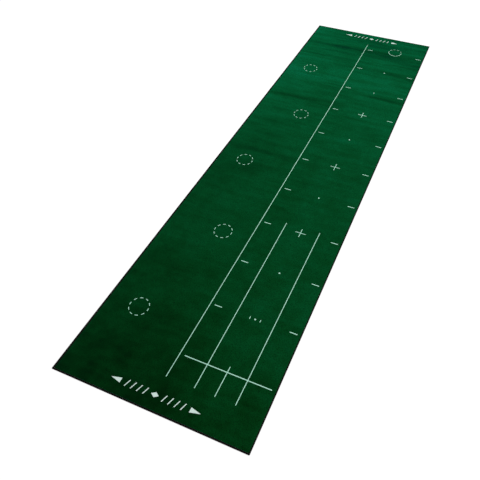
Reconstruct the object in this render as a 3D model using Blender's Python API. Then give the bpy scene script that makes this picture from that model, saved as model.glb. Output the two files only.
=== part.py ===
"""Practice putting mat: a rubber-backed cut-pile mat with white putting lines and overlocked edges.

Metres, +Z up. The origin is on the floor under the middle of the mat, +Y runs along the mat from the
player's end (near) to the target end (far), and +X is to the player's right.

The mat is a laminate: rubber sheet, latex bond coat, tufting cloth with white yarn standing up from it,
and green pile that is open wherever the white yarn comes through. A black overlocked binding wraps the
rim on all four sides, with mitred corners.
"""
import math

import bmesh
import bpy

# ---- driving dimensions ------------------------------------------------------------------------------
MAT_WIDTH = 0.660
MAT_LENGTH = 2.400
GAP = 0.0003                 # clearance between two pieces that touch

RUBBER_TOP = 0.0022          # the rubber lies on the floor at z = 0
BOND_COAT = 0.0003
CLOTH = 0.0004
PILE_TOP = 0.0060            # height of the putting surface

BINDING_WIDTH = 0.0055       # how far the binding laps over the mat
BINDING_TOP = 0.0052
BINDING_UNDER = 0.0006       # thread thickness under the rim
BINDING_WALL = 0.0009        # thread thickness outside the rim
BINDING_ROUND = 0.0018       # radius of the binding's outer top edge
BINDING_SOLE_ROUND = 0.0004  # radius of its outer bottom edge

STROKE = 0.0027              # width of the lengthwise lines, ring dashes and crosses
CROSS_STROKE = 0.0031        # width of the crossbar and the distance ticks

AIM_X = 0.0045               # aim line, at the middle of the mat
LANE_X = 0.1675              # middle of the putting lane on the right half
LINES_START = 0.1095         # distances along the mat are from its near edge
AIM_END = 2.273
GATE_HALF = 0.0673           # gate lines stand this far each side of the lane's middle
GATE_END = 0.826
SHORT_LINE_END = 0.211
CROSSBAR_Y = 0.191
CROSSBAR_HALF = 0.146

FIRST_ROW = 0.391
ROW_PITCH = 0.2035
ROW_COUNT = 10
TICK_OFFSET = 0.134
TICK_LENGTH = 0.027
CROSS_ROWS = (3, 5, 7)
SPOT_ROWS = (1, 2, 4, 6, 8, 9)
CROSS_SIZE = 0.041
SPOT_DIAMETER = 0.0065
SPOT_SIDES = 10
BALL_BAR_OFFSET = 0.0185     # the two short bars beside the first spot
BALL_BAR_LENGTH = 0.0098

RING_RADIUS = 0.034
RING_DASHES = 10
DASH_ANGLE = math.radians(19)
RING_OUTER_X = -0.208        # rings alternate between these two columns on the left half
RING_INNER_X = -0.105
TARGET_Y = 2.247
ARC_STEP = math.radians(13)

EMBLEM_Y = 0.0485            # ornament line, this far from each end
ARROW_TIP = 0.151
ARROW_LENGTH = 0.034
ARROW_HEIGHT = 0.016
SLASH_COUNT = 4              # slanted bars on each side of the ornament's lozenge
SLASH_FIRST = 0.030
SLASH_PITCH = 0.021
SLASH_HEIGHT = 0.022
SLASH_LEAN = 0.008
SLASH_WIDTH = 0.0036
LOZENGE_HALF_LENGTH = 0.014
LOZENGE_HALF_HEIGHT = 0.0085

# ---- heights of the layers ---------------------------------------------------------------------------
BOND_BOTTOM = RUBBER_TOP + GAP
CLOTH_BOTTOM = BOND_BOTTOM + BOND_COAT + GAP
CLOTH_TOP = CLOTH_BOTTOM + CLOTH
PILE_BOTTOM = CLOTH_TOP + GAP
RIM_BOTTOM = BINDING_UNDER + GAP
RIM_INSET = BINDING_WALL + GAP          # the layers stop this far inside the mat's outline
FIELD_INSET = BINDING_WIDTH + GAP       # the pile and the thick rubber stop here

parts = bpy.data.collections.new("practice_putting_mat")
cutters = bpy.data.collections.new("mark_cutters")


# ---- materials ---------------------------------------------------------------------------------------
def material(name, colour, roughness, metallic=0.0):
    """A Principled BSDF with one colour."""
    made = bpy.data.materials.new(name)
    made.use_nodes = True
    shader = made.node_tree.nodes["Principled BSDF"]
    shader.inputs["Base Color"].default_value = (*colour, 1.0)
    shader.inputs["Roughness"].default_value = roughness
    shader.inputs["Metallic"].default_value = metallic
    return made


# ---- building blocks ---------------------------------------------------------------------------------
def slab(name, inset, bottom, top, look):
    """A flat sheet as wide and long as the mat, less an inset on every side."""
    bpy.ops.mesh.primitive_cube_add(size=1.0, location=(0, 0, (bottom + top) / 2))
    sheet = bpy.context.object
    sheet.name = name
    sheet.scale = (MAT_WIDTH - 2 * inset, MAT_LENGTH - 2 * inset, top - bottom)
    bpy.ops.object.transform_apply(location=False, rotation=False, scale=True)
    file_in(sheet, parts)
    sheet.data.materials.append(look)
    return sheet


def file_in(thing, collection):
    """Move an object to one collection."""
    for old in list(thing.users_collection):
        old.objects.unlink(thing)
    collection.objects.link(thing)


def flat_solid(name, outlines, bottom, top, collection):
    """Upright prisms on closed outlines that don't cross: a filled 2D curve made into a mesh."""
    curve = bpy.data.curves.new(name, "CURVE")
    curve.dimensions = "2D"
    curve.fill_mode = "BOTH"
    curve.extrude = (top - bottom) / 2
    for outline in outlines:
        spline = curve.splines.new("POLY")
        spline.points.add(len(outline) - 1)
        for point, (x, y) in zip(spline.points, outline):
            point.co = (x, y, 0, 1)
        spline.use_cyclic_u = True
    flat = bpy.data.objects.new(name, curve)
    flat.location.z = (bottom + top) / 2
    collection.objects.link(flat)
    bpy.context.view_layer.update()
    evaluated = flat.evaluated_get(bpy.context.evaluated_depsgraph_get())
    mesh = bpy.data.meshes.new_from_object(evaluated)
    solid = bpy.data.objects.new(name, mesh)
    solid.matrix_world = flat.matrix_world
    bpy.data.objects.remove(flat)
    weld = bmesh.new()
    weld.from_mesh(mesh)
    bmesh.ops.remove_doubles(weld, verts=weld.verts, dist=1e-6)
    bmesh.ops.recalc_face_normals(weld, faces=weld.faces)
    weld.to_mesh(mesh)
    weld.free()
    solid.name = name
    collection.objects.link(solid)
    return solid


# ---- outlines of the white marks, in the mat's plane; grow widens a mark on every side ----------------
def along(distance):
    """World Y of a distance measured from the near edge."""
    return distance - MAT_LENGTH / 2


def bar(x, y, width, length, grow):
    """A rectangle about its middle; width is along X and length along Y."""
    half_x = width / 2 + grow
    half_y = length / 2 + grow
    return [(x - half_x, y - half_y), (x + half_x, y - half_y), (x + half_x, y + half_y), (x - half_x, y + half_y)]


def lengthwise_line(x, start, end, grow):
    """A line along the mat between two distances from the near edge."""
    return bar(x, along((start + end) / 2), STROKE, end - start, grow)


def spot(x, y, grow):
    """A round spot."""
    radius = SPOT_DIAMETER / 2 + grow
    turns = [2 * math.pi * k / SPOT_SIDES for k in range(SPOT_SIDES)]
    return [(x + radius * math.cos(a), y + radius * math.sin(a)) for a in turns]


def arc_dash(x, y, middle, span, grow):
    """A curved dash of a ring: outer arc one way, inner arc back."""
    outer = RING_RADIUS + STROKE / 2 + grow
    inner = RING_RADIUS - STROKE / 2 - grow
    half = span / 2 + grow / RING_RADIUS
    steps = max(2, math.ceil(span / ARC_STEP))
    angles = [middle - half + 2 * half * k / steps for k in range(steps + 1)]
    there = [(x + outer * math.cos(a), y + outer * math.sin(a)) for a in angles]
    back = [(x + inner * math.cos(a), y + inner * math.sin(a)) for a in reversed(angles)]
    return there + back


def grown(outline, grow):
    """A convex outline, anticlockwise, with every side moved outwards by grow."""
    count = len(outline)
    moved = []
    for k in range(count):
        before, here, after = outline[k - 1], outline[k], outline[(k + 1) % count]
        normals = []
        for (x0, y0), (x1, y1) in ((before, here), (here, after)):
            side = math.hypot(x1 - x0, y1 - y0)
            normals.append(((y1 - y0) / side, -(x1 - x0) / side))
        (ax, ay), (bx, by) = normals
        reach = grow / (1 + ax * bx + ay * by)
        moved.append((here[0] + reach * (ax + bx), here[1] + reach * (ay + by)))
    return moved


def emblem(grow):
    """A lozenge, slanted bars and outward arrowheads on one line, the same seen from either end."""
    outlines = [grown([(-LOZENGE_HALF_LENGTH, 0), (0, -LOZENGE_HALF_HEIGHT),
                       (LOZENGE_HALF_LENGTH, 0), (0, LOZENGE_HALF_HEIGHT)], grow)]
    for k in range(SLASH_COUNT):
        foot = SLASH_FIRST + k * SLASH_PITCH - SLASH_LEAN / 2
        head = foot + SLASH_LEAN
        half = SLASH_HEIGHT / 2
        outlines.append(grown([(foot, -half), (foot + SLASH_WIDTH, -half),
                               (head + SLASH_WIDTH, half), (head, half)], grow))
    outlines.append(grown([(ARROW_TIP, 0), (ARROW_TIP - ARROW_LENGTH, ARROW_HEIGHT / 2),
                           (ARROW_TIP - ARROW_LENGTH, -ARROW_HEIGHT / 2)], grow))
    turned = [[(-x, -y) for x, y in outline] for outline in outlines[1:]]
    return outlines + turned


def rows():
    """Number and world Y of each distance row."""
    return [(k + 1, along(FIRST_ROW + k * ROW_PITCH)) for k in range(ROW_COUNT)]


def ring_centres():
    """Middles of the dashed rings: half a row before every odd row, in alternating columns."""
    centres = []
    for k in range(ROW_COUNT // 2):
        x = RING_INNER_X if k % 2 else RING_OUTER_X
        centres.append((x, along(FIRST_ROW + (2 * k - 0.5) * ROW_PITCH)))
    return centres


def lengthwise_marks(grow):
    """Aim line, gate lines, short middle line, upright strokes of the crosses, bars beside the first spot."""
    marks = [lengthwise_line(AIM_X, LINES_START, AIM_END, grow),
             lengthwise_line(LANE_X - GATE_HALF, LINES_START, GATE_END, grow),
             lengthwise_line(LANE_X + GATE_HALF, LINES_START, GATE_END, grow),
             lengthwise_line(LANE_X, LINES_START, SHORT_LINE_END, grow)]
    for number, y in rows():
        if number in CROSS_ROWS:
            marks.append(bar(LANE_X, y, STROKE, CROSS_SIZE, grow))
    first_y = rows()[0][1]
    for side in (-1, 1):
        marks.append(bar(LANE_X + side * BALL_BAR_OFFSET, first_y, STROKE, BALL_BAR_LENGTH, grow))
    return marks


def crosswise_marks(grow):
    """Crossbar, distance ticks on both sides of the lane, level strokes of the crosses."""
    marks = [bar(LANE_X, along(CROSSBAR_Y), 2 * CROSSBAR_HALF, CROSS_STROKE, grow)]
    for number, y in rows():
        for side in (-1, 1):
            marks.append(bar(LANE_X + side * TICK_OFFSET, y, TICK_LENGTH, CROSS_STROKE, grow))
        if number in CROSS_ROWS:
            marks.append(bar(LANE_X, y, CROSS_SIZE, STROKE, grow))
    return marks


def round_marks(grow):
    """Dashed rings, the target ring with its solid near half, spots, and the emblem at both ends."""
    dash_angles = [2 * math.pi * k / RING_DASHES for k in range(RING_DASHES)]
    marks = [arc_dash(x, y, a, DASH_ANGLE, grow) for x, y in ring_centres() for a in dash_angles]
    far_half = [a for a in dash_angles if 0.1 < a < math.pi - 0.1]
    marks += [arc_dash(LANE_X, along(TARGET_Y), a, DASH_ANGLE, grow) for a in far_half]
    marks.append(arc_dash(LANE_X, along(TARGET_Y), 1.5 * math.pi, math.pi + DASH_ANGLE, grow))
    marks += [spot(LANE_X, y, grow) for number, y in rows() if number in SPOT_ROWS]
    for end in (-1, 1):
        middle = end * (MAT_LENGTH / 2 - EMBLEM_Y)
        marks += [[(x + AIM_X, y + middle) for x, y in outline] for outline in emblem(grow)]
    return marks


MARK_GROUPS = (("lengthwise", lengthwise_marks), ("crosswise", crosswise_marks), ("round", round_marks))


# ---- the layers --------------------------------------------------------------------------------------
def use_boolean(target, tool, operation):
    """Add an exact Boolean and keep its tool out of the model."""
    step = target.modifiers.new(tool.name, "BOOLEAN")
    step.operation = operation
    step.solver = "EXACT"
    step.object = tool
    tool.hide_render = True
    tool.display_type = "WIRE"


def rubber_backing():
    """The rubber sheet: a thin rim, with the thick field pushed down from it to the floor."""
    sheet = slab("rubber_backing", RIM_INSET, RIM_BOTTOM, RUBBER_TOP, black_rubber)
    shape = bmesh.new()
    shape.from_mesh(sheet.data)
    underside = min(shape.faces, key=lambda face: face.normal.z)
    bmesh.ops.inset_region(shape, faces=[underside], thickness=FIELD_INSET - RIM_INSET, use_even_offset=True)
    pushed = bmesh.ops.extrude_face_region(shape, geom=[underside])
    lowered = [item for item in pushed["geom"] if isinstance(item, bmesh.types.BMVert)]
    bmesh.ops.translate(shape, verts=lowered, vec=(0, 0, -RIM_BOTTOM))
    bmesh.ops.delete(shape, geom=[underside], context="FACES_ONLY")
    bmesh.ops.recalc_face_normals(shape, faces=shape.faces)
    shape.to_mesh(sheet.data)
    shape.free()


def bond_coat():
    """The latex coat between the rubber and the cloth."""
    slab("bond_coat", RIM_INSET, BOND_BOTTOM, BOND_BOTTOM + BOND_COAT, latex)


def backing_cloth():
    """The tufting cloth, with the white yarn of every mark standing up from it."""
    cloth = slab("backing_cloth_white_tufts", RIM_INSET, CLOTH_BOTTOM, CLOTH_TOP, white_yarn)
    root = (CLOTH_BOTTOM + CLOTH_TOP) / 2
    for group, outlines in MARK_GROUPS:
        tufts = flat_solid("tufts_" + group, outlines(0.0), root, PILE_TOP, cutters)
        use_boolean(cloth, tufts, "UNION")


def green_pile():
    """The green pile, cut right through wherever the white yarn comes up."""
    pile = slab("green_pile", FIELD_INSET, PILE_BOTTOM, PILE_TOP, green_yarn)
    for group, outlines in MARK_GROUPS:
        opening = flat_solid("opening_" + group, outlines(GAP), PILE_BOTTOM - 0.001, PILE_TOP + 0.001, cutters)
        use_boolean(pile, opening, "DIFFERENCE")


# ---- the bindings ------------------------------------------------------------------------------------
def corner(centre_x, centre_z, radius, start, end, steps):
    """Points on an arc, for a rounded corner of a section."""
    angles = [start + (end - start) * k / steps for k in range(steps + 1)]
    return [(centre_x + radius * math.cos(a), centre_z + radius * math.sin(a)) for a in angles]


def binding_section():
    """The binding's C section: x runs inwards from the mat's outline, y upwards from the floor."""
    slot_top = PILE_BOTTOM
    lip_round = (BINDING_TOP - slot_top) / 2
    section = [(BINDING_WIDTH, 0.0)]
    section += corner(BINDING_SOLE_ROUND, BINDING_SOLE_ROUND, BINDING_SOLE_ROUND, 1.5 * math.pi, math.pi, 2)
    section += corner(BINDING_ROUND, BINDING_TOP - BINDING_ROUND, BINDING_ROUND, math.pi, math.pi / 2, 5)
    section += corner(BINDING_WIDTH - lip_round, BINDING_TOP - lip_round, lip_round, math.pi / 2, 0, 2)
    section += [(BINDING_WIDTH, slot_top), (BINDING_WALL, slot_top)]
    section += [(BINDING_WALL, BINDING_UNDER), (BINDING_WIDTH, BINDING_UNDER)]
    return section


def edge_binding(name, side_length, turn, place):
    """One side's binding, its ends mitred at 45 degrees to meet its neighbours."""
    half = side_length / 2
    binding = flat_solid(name, [binding_section()], -half, half, parts)
    mitre_gap = GAP / math.sqrt(2)
    for vertex in binding.data.vertices:
        end = math.copysign(1.0, vertex.co.z)
        vertex.co.z = end * (half - vertex.co.x - mitre_gap)
    binding.rotation_euler = (math.pi / 2, 0, turn)
    binding.location = place
    binding.data.materials.append(black_thread)
    binding.data.shade_smooth()
    binding.data.set_sharp_from_angle(angle=math.radians(40))


def edge_bindings():
    """The four bindings, each turned so that its section faces the middle of the mat."""
    quarter = math.pi / 2
    edge_binding("edge_binding_left", MAT_LENGTH, 0, (-MAT_WIDTH / 2, 0, 0))
    edge_binding("edge_binding_near", MAT_WIDTH, quarter, (0, -MAT_LENGTH / 2, 0))
    edge_binding("edge_binding_right", MAT_LENGTH, 2 * quarter, (MAT_WIDTH / 2, 0, 0))
    edge_binding("edge_binding_far", MAT_WIDTH, 3 * quarter, (0, MAT_LENGTH / 2, 0))


for leftover in list(bpy.data.objects):
    bpy.data.objects.remove(leftover)
bpy.context.scene.collection.children.link(parts)
bpy.context.scene.collection.children.link(cutters)

black_rubber = material("black_rubber", (0.012, 0.012, 0.012), 0.75)
latex = material("latex", (0.32, 0.31, 0.26), 0.8)
white_yarn = material("white_yarn", (0.62, 0.74, 0.66), 0.95)
green_yarn = material("green_yarn", (0.004, 0.055, 0.022), 0.95)
black_thread = material("black_thread", (0.014, 0.012, 0.012), 0.8)

rubber_backing()
bond_coat()
backing_cloth()
green_pile()
edge_bindings()
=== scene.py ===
"""Looks of a practice putting mat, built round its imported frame.

The mat lies on a pale studio floor: black rubber with grip nubs, a latex coat, the tufting cloth, dense
green cut pile, white yarn marks standing a little proud of it, and a black overlocked edge all round.
Metres, +Z up, the origin on the floor under the middle of the mat, +Y towards the target end.
"""
import logging
import math
from dataclasses import dataclass
from enum import Enum

import bpy
import numpy as np
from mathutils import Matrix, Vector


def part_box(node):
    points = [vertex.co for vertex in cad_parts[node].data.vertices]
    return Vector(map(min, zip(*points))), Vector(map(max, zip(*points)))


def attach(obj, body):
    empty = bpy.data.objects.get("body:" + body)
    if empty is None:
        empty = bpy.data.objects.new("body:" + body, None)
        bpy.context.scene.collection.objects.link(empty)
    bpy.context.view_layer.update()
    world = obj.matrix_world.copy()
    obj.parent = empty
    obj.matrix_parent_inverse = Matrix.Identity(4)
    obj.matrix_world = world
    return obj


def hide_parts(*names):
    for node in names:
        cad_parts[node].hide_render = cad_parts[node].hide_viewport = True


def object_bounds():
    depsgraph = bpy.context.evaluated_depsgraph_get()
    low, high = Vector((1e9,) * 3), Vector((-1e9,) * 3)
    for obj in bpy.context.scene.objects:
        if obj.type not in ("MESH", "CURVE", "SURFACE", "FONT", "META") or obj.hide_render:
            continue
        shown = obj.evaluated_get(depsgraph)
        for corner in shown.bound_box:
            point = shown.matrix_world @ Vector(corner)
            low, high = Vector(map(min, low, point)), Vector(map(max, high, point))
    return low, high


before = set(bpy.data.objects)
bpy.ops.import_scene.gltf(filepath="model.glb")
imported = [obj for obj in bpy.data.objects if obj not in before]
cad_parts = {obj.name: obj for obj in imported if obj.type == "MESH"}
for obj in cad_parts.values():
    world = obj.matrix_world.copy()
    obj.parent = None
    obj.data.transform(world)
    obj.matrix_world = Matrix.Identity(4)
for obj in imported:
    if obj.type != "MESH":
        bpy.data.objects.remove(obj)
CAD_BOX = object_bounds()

LOG = logging.getLogger("putting_mat")
MM = 0.001
HALF_LENGTH = round(CAD_BOX[1][1], 4)
SHARP_DEGREES = 50.0
SHEET_GRID = (34, 241)
CROSSING_LIFT = 0.06 * MM
Colour = tuple[float, float, float]


# ---- Meshes from arrays ----
def grid_quads(rows: int, columns: int, wrap: bool = False) -> np.ndarray:
    """Quads of a grid of points, where point (i, j) is number i * columns + j.

    Args:
        rows: Number of rows of points.
        columns: Number of points in a row.
        wrap: True to join the last column to the first.

    Returns:
        An array of four point numbers for each quad.
    """
    i = np.arange(rows - 1)[:, None]
    j = np.arange(columns if wrap else columns - 1)[None, :]
    beside = (j + 1) % columns
    row, ahead = i * columns, (i + 1) * columns
    return np.stack([row + j, row + beside, ahead + beside, ahead + j], -1).reshape(-1, 4)


def turns(count: int) -> np.ndarray:
    """Angles of points spaced evenly round a circle."""
    return np.linspace(0, 2 * math.pi, count, endpoint=False)


class Shells:
    """Closed shells gathered into one mesh, each turned so that its faces point outwards."""

    def __init__(self) -> None:
        """Start with no shells."""
        self.points: list[np.ndarray] = []
        self.faces: list[list[int]] = []
        self.count = 0

    def add(self, points: np.ndarray, quads: np.ndarray, polygons: list[list[int]],
            copies: int = 1) -> None:
        """Add one shell, or several of the same build.

        The side the faces point to is read from the volume of the first copy, the sum over its faces of
        each corner fan's triple product.

        Args:
            points: Points, an array of copies * n rows and 3 columns.
            quads: Quads of one copy.
            polygons: Its other faces.
            copies: How many copies the points hold, one after another.
        """
        points = points.reshape(-1, 3)
        each = len(points) // copies
        volume = 0.0
        for face in (quads[:, [0, 1, 2]], quads[:, [0, 2, 3]]):
            a, b, c = (points[face[:, k]] for k in range(3))
            volume += float(np.einsum("ij,ij->i", a, np.cross(b, c)).sum())
        for polygon in polygons:
            corners = points[np.array(polygon)]
            volume += float((np.cross(corners[1:-1], corners[2:]) @ corners[0]).sum())
        step = 1 if volume > 0 else -1
        starts = self.count + each * np.arange(copies)
        by_size: dict[int, list[list[int]]] = {}
        for face in quads[:, ::step].tolist() + [polygon[::step] for polygon in polygons]:
            by_size.setdefault(len(face), []).append(face)
        for faces in by_size.values():
            block = np.array(faces)[None] + starts[:, None, None]
            self.faces += block.reshape(-1, block.shape[-1]).tolist()
        self.points.append(points)
        self.count += len(points)

    def tubes(self, rings: np.ndarray) -> None:
        """Add tubes with capped ends.

        Args:
            rings: Points of the tubes: tube, ring along it, point round the ring, and x, y, z.
        """
        copies, length, around = rings.shape[:3]
        quads = grid_quads(length, around, wrap=True)
        caps = [list(range(around)), list(range((length - 1) * around, length * around))[::-1]]
        self.add(rings.reshape(-1, 3), quads, caps, copies)

    def slab(self, x: np.ndarray, y: np.ndarray, top: np.ndarray, bottom: np.ndarray,
             lean: float = 0.0, lip: float = 0.5) -> None:
        """Add a closed slab: a fine grid on top, and one strip from side to side under each of its rows.

        Args:
            x: Places of the grid's lines across the mat.
            y: Places of its lines along the mat.
            top: Height of the top at each (y, x).
            bottom: Height of the underside at each (y, x), of which the rim is used.
            lean: How far the top is shifted across the mat, over the underside.
            lip: Share of the height at which the wall's lean begins.
        """
        rows, columns = len(y), len(x)
        across, along = np.meshgrid(x, y)
        upper = np.stack([across + lean, along, top], -1).reshape(-1, 3)
        number = np.arange(rows * columns).reshape(rows, columns)
        rim = np.concatenate([number[0], number[1:, -1], number[-1, -2::-1], number[-2:0:-1, 0]])
        lower = upper[rim] - (lean, 0.0, 0.0)
        lower[:, 2] = bottom.reshape(-1)[rim]
        ledge = lower.copy()
        ledge[:, 2] += lip * (upper[rim, 2] - lower[:, 2])
        beside = np.arange(len(rim)) + rows * columns
        under = beside + len(rim)
        ahead = np.roll(np.arange(len(rim)), -1)
        loops = ((rim, beside), (beside, under))
        walls = np.concatenate([np.stack([a[ahead], a, b, b[ahead]], -1) for a, b in loops])
        right = under[columns - 1: columns - 1 + rows]
        left = np.concatenate([under[:1], under[::-1]])[: rows]
        strips = np.stack([left[1:-2], left[2:-1], right[2:-1], right[1:-2]], -1)
        far_start = columns + rows - 2
        first = [left[1], *under[:columns], right[1]][::-1]
        last = [right[-2], *under[far_start: far_start + columns], left[-2]][::-1]
        quads = np.concatenate([grid_quads(rows, columns), walls, strips])
        self.add(np.concatenate([upper, ledge, lower]), quads, [first, last])

    def piece(self, name: str) -> bpy.types.Object:
        """Make the gathered shells one object, shaded smooth but for its sharp edges, at the origin."""
        mesh = bpy.data.meshes.new(name)
        mesh.from_pydata(np.concatenate(self.points).tolist(), [], self.faces)
        mesh.update()
        mesh.shade_smooth()
        mesh.set_sharp_from_angle(angle=math.radians(SHARP_DEGREES))
        made = bpy.data.objects.new(name, mesh)
        bpy.context.scene.collection.objects.link(made)
        return made


def triangles(piece: bpy.types.Object) -> int:
    """Number of triangles in a piece's mesh."""
    return sum(polygon.loop_total - 2 for polygon in piece.data.polygons)


def dress(piece: bpy.types.Object, finish: bpy.types.Material, node: str) -> bpy.types.Object:
    """Give a piece its finish and its place in the part.

    Args:
        piece: The piece.
        finish: Its material.
        node: The CAD node that it stands for.

    Returns:
        The same piece.
    """
    piece.data.materials.append(finish)
    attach(piece, "root")
    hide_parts(node)
    return piece


# ---- Finishes ----
class Shader:
    """A material's node tree, with short calls to add and join its nodes."""

    def __init__(self, name: str) -> None:
        """Make the material, its Principled shader and its object coordinates.

        Args:
            name: The material's name.
        """
        self.material = bpy.data.materials.new(name)
        self.material.use_nodes = True
        self.tree = self.material.node_tree
        self.surface = self.tree.nodes["Principled BSDF"]
        self.place = self.tree.nodes.new("ShaderNodeTexCoord").outputs["Object"]

    def fixed(self, **values: float | tuple) -> None:
        """Set constant inputs on the Principled shader; an underscore stands for a space in a name."""
        for name, value in values.items():
            self.surface.inputs[name.replace("_", " ").title().replace("Ior", "IOR")].default_value = value

    def join(self, source: bpy.types.NodeSocket, target: str) -> None:
        """Link a socket to one of the Principled shader's inputs."""
        self.tree.links.new(source, self.surface.inputs[target])

    def pattern(self, kind: str, **values: float) -> bpy.types.Node:
        """Add a texture node that reads the object coordinates, with its inputs set by name."""
        node = self.tree.nodes.new(kind)
        for name, value in values.items():
            node.inputs[name].default_value = value
        self.tree.links.new(self.place, node.inputs["Vector"])
        return node

    def noise(self, scale: float, detail: float, rough: float) -> bpy.types.NodeSocket:
        """A noise pattern from 0 to 1: repeats to the metre, octaves and the finer ones' strength."""
        node = self.pattern("ShaderNodeTexNoise", Scale=scale, Detail=detail, Roughness=rough)
        return node.outputs["Fac"]

    def cells(self, scale: float) -> bpy.types.NodeSocket:
        """Distance to the nearest of scattered points, which draws the heads of the tufts."""
        return self.pattern("ShaderNodeTexVoronoi", Scale=scale).outputs["Distance"]

    def attribute(self, name: str) -> bpy.types.NodeSocket:
        """A number stored on the mesh, point by point."""
        node = self.tree.nodes.new("ShaderNodeAttribute")
        node.attribute_name = name
        return node.outputs["Fac"]

    def spread(self, value: bpy.types.NodeSocket, low: float, high: float,
               to_low: float = 0.0, to_high: float = 1.0) -> bpy.types.NodeSocket:
        """Map the span low to high onto another span, clamped."""
        node = self.tree.nodes.new("ShaderNodeMapRange")
        spans = {"From Min": low, "From Max": high, "To Min": to_low, "To Max": to_high}
        for name, number in spans.items():
            node.inputs[name].default_value = number
        self.tree.links.new(value, node.inputs["Value"])
        return node.outputs["Result"]

    def maths(self, operation: str, first: bpy.types.NodeSocket,
              second: bpy.types.NodeSocket | float) -> bpy.types.NodeSocket:
        """Combine two values with a Math node."""
        node = self.tree.nodes.new("ShaderNodeMath")
        node.operation = operation
        self.tree.links.new(first, node.inputs[0])
        if isinstance(second, (int, float)):
            node.inputs[1].default_value = second
        else:
            self.tree.links.new(second, node.inputs[1])
        return node.outputs["Value"]

    def blend(self, share: bpy.types.NodeSocket, first: bpy.types.NodeSocket | Colour,
              second: bpy.types.NodeSocket | Colour) -> bpy.types.NodeSocket:
        """Mix two colours.

        Args:
            share: 0 gives the first colour and 1 the second.
            first: A colour or a socket.
            second: A colour or a socket.

        Returns:
            The mixed colour.
        """
        node = self.tree.nodes.new("ShaderNodeMix")
        node.data_type = "RGBA"
        self.tree.links.new(share, node.inputs["Factor"])
        for socket, value in ((node.inputs[6], first), (node.inputs[7], second)):
            if isinstance(value, tuple):
                socket.default_value = (*value, 1.0)
            else:
                self.tree.links.new(value, socket)
        return node.outputs[2]

    def relief(self, height: bpy.types.NodeSocket, strength: float, depth: float) -> None:
        """Bump the surface by a height pattern that is depth metres deep."""
        node = self.tree.nodes.new("ShaderNodeBump")
        node.inputs["Strength"].default_value = strength
        node.inputs["Distance"].default_value = depth
        self.tree.links.new(height, node.inputs["Height"])
        self.join(node.outputs["Normal"], "Normal")


@dataclass(frozen=True)
class YarnTexture:
    """The pattern of cut yarn: its tuft heads, the fibres on them, and the relief of both.

    Attributes:
        tufts: Tufts to the metre.
        fibres: Fibre noise, in repeats to the metre.
        fine: How strong the fibres' finer octaves are.
        heads: The span of tuft and fibre over which a head turns into a hollow.
        roughness: Roughness of the darkest and the lightest fibres.
        sink: How deep the hollows between tufts are against the fibres.
        relief: The bump's strength and its depth in metres.
    """

    tufts: float
    fibres: float
    fine: float
    heads: tuple[float, float]
    roughness: tuple[float, float]
    sink: float
    relief: tuple[float, float]

    def draw(self, shader: Shader) -> bpy.types.NodeSocket:
        """Set the shader's roughness and relief.

        Returns:
            The heads, from 0 in a hollow to 1 on a tuft, by which the finishes lay painted shade between
            the tufts.
        """
        tufts = shader.cells(self.tufts)
        fibres = shader.noise(self.fibres, 3.0, self.fine)
        shader.join(shader.spread(fibres, 0.2, 0.8, *self.roughness), "Roughness")
        hollows = shader.maths("MULTIPLY", tufts, -self.sink)
        shader.relief(shader.maths("ADD", hollows, fibres), *self.relief)
        return shader.spread(shader.maths("MULTIPLY", tufts, fibres), *self.heads, 1.0, 0.0)


@dataclass(frozen=True)
class PileFinish:
    """Dyed cut pile, with painted shade between the tufts and lighter on their heads, and a soft sheen at
    low angles.

    Where the stored number is low the green is yellower, for flat pile and painted shade, and where it is
    high it is bluer, for brushed-up pile and painted sheen.

    The stored number runs from 0, where the pile is flat and dark with painted shade, to 1, where it is
    brushed up and in painted light.
    """

    # The deep colours are painted shade between the tufts; the darkest colour is flat pile and painted
    # shade; the bluer colours paint part of the sheen of lit pile.
    deep: Colour = (0.0008, 0.0420, 0.0155)
    face: Colour = (0.0030, 0.1300, 0.0480)
    flat_shaded_deep: Colour = (0.0010, 0.0420, 0.0030)
    flat_shaded_face: Colour = (0.0036, 0.1300, 0.0090)
    crushed_and_shaded: Colour = (0.0005, 0.0048, 0.0004)
    sheen: Colour = (0.0, 1.0, 0.45)
    sheen_weight: float = 0.5
    sheen_roughness: float = 0.4
    texture: YarnTexture = YarnTexture(
        tufts=480.0, fibres=1400.0, fine=0.65, heads=(0.05, 0.42), roughness=(0.86, 1.0),
        sink=0.7, relief=(0.45, 0.7 * MM))

    def material(self) -> bpy.types.Material:
        """Build the finish, whose colour varies tuft by tuft and follows the stored nap."""
        shader = Shader("green_cut_pile")
        heads = self.texture.draw(shader)
        nap_and_light = shader.attribute("nap_and_light")
        # Painted light and shade: the stored number darkens the green towards the darkest colour and turns
        # it bluer where high, and the tuft heads lay painted shade between the tufts.
        flat_and_shaded = shader.blend(heads, self.flat_shaded_deep, self.flat_shaded_face)
        dyed_with_painted_light = shader.blend(nap_and_light, flat_and_shaded, shader.blend(heads, self.deep, self.face))
        shader.join(shader.blend(nap_and_light, self.crushed_and_shaded, dyed_with_painted_light), "Base Color")
        shader.fixed(specular_IOR_level=0.0, sheen_weight=self.sheen_weight,
                     sheen_roughness=self.sheen_roughness, sheen_tint=(*self.sheen, 1.0))
        return shader.material


@dataclass(frozen=True)
class MarkFinish:
    """Undyed white yarn, a little green from the pile round it."""

    name: str = "white_mark_yarn"
    face: Colour = (0.52, 0.86, 0.71)
    # The hollow colour is painted shade between the tufts.
    hollow: Colour = (0.30, 0.60, 0.46)
    texture: YarnTexture = YarnTexture(
        tufts=420.0, fibres=1200.0, fine=0.6, heads=(0.04, 0.45), roughness=(0.82, 0.98),
        sink=1.0, relief=(0.5, 0.5 * MM))

    def material(self) -> bpy.types.Material:
        """Build the finish."""
        shader = Shader(self.name)
        # The tuft heads mask lays the hollow colour between the tufts as painted shade.
        shader.join(shader.blend(self.texture.draw(shader), self.hollow, self.face), "Base Color")
        shader.fixed(specular_IOR_level=0.1, sheen_weight=0.15, sheen_roughness=0.4)
        return shader.material


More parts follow.
